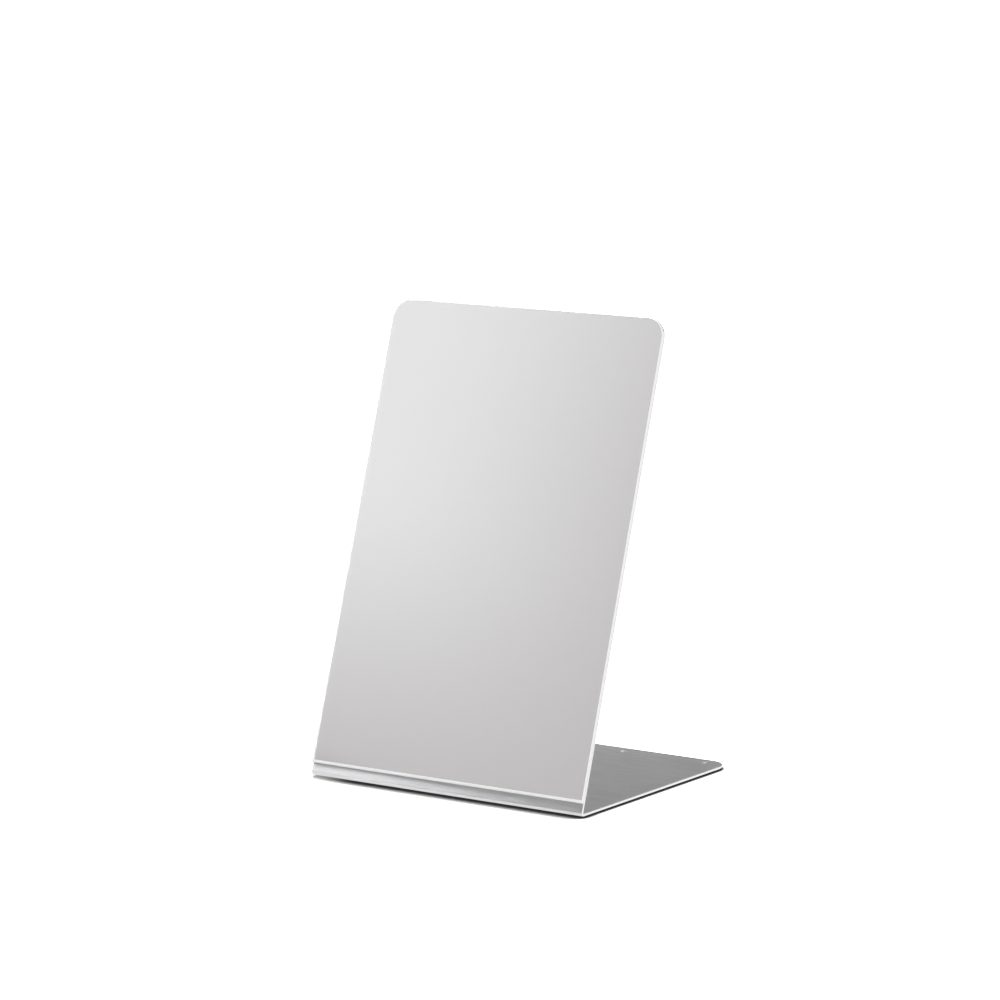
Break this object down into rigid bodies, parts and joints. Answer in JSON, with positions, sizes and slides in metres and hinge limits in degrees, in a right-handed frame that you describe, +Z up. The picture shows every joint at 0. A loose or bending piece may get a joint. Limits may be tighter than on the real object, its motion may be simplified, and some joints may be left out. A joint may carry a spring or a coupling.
{
  "type": "countertop mirror",
  "caption": "Tilted countertop mirror for trying on glasses: a flat mirror with rounded top corners, taped to a leaning leaf of bent aluminium sheet on a flat base.",
  "frame": {"origin": "on the counter, below the middle of the base plate", "axes": "+X to the right as a person looking into the mirror sees it, +Y to the back, away from that person, +Z up"},
  "size_m": [0.2, 0.165, 0.2872],
  "materials": {
    "anodised_aluminium": "brushed across the width and satin anodised, with polished cut edges",
    "clear_glass": "polished faces, ground edges",
    "silvering": "mirror",
    "backing_paint": "thin matt protective paint",
    "mounting_tape": "thin white double-sided tape",
    "foot_rubber": "matt black",
    "foot_adhesive": "cloudy adhesive film"
  },
  "bodies": {
    "root": {"stand_sheet": "anodised_aluminium", "mirror_glass": "clear_glass", "mirror_silvering": "silvering", "mirror_backing_paint": "backing_paint", "mounting_tape_1": "mounting_tape", "mounting_tape_2": "mounting_tape", "mounting_tape_3": "mounting_tape", "mounting_tape_4": "mounting_tape", "foot_front_left": "foot_rubber", "foot_front_right": "foot_rubber", "foot_back_left": "foot_rubber", "foot_back_right": "foot_rubber", "foot_adhesive_front_left": "foot_adhesive", "foot_adhesive_front_right": "foot_adhesive", "foot_adhesive_back_left": "foot_adhesive", "foot_adhesive_back_right": "foot_adhesive"}
  },
  "joints": []
}
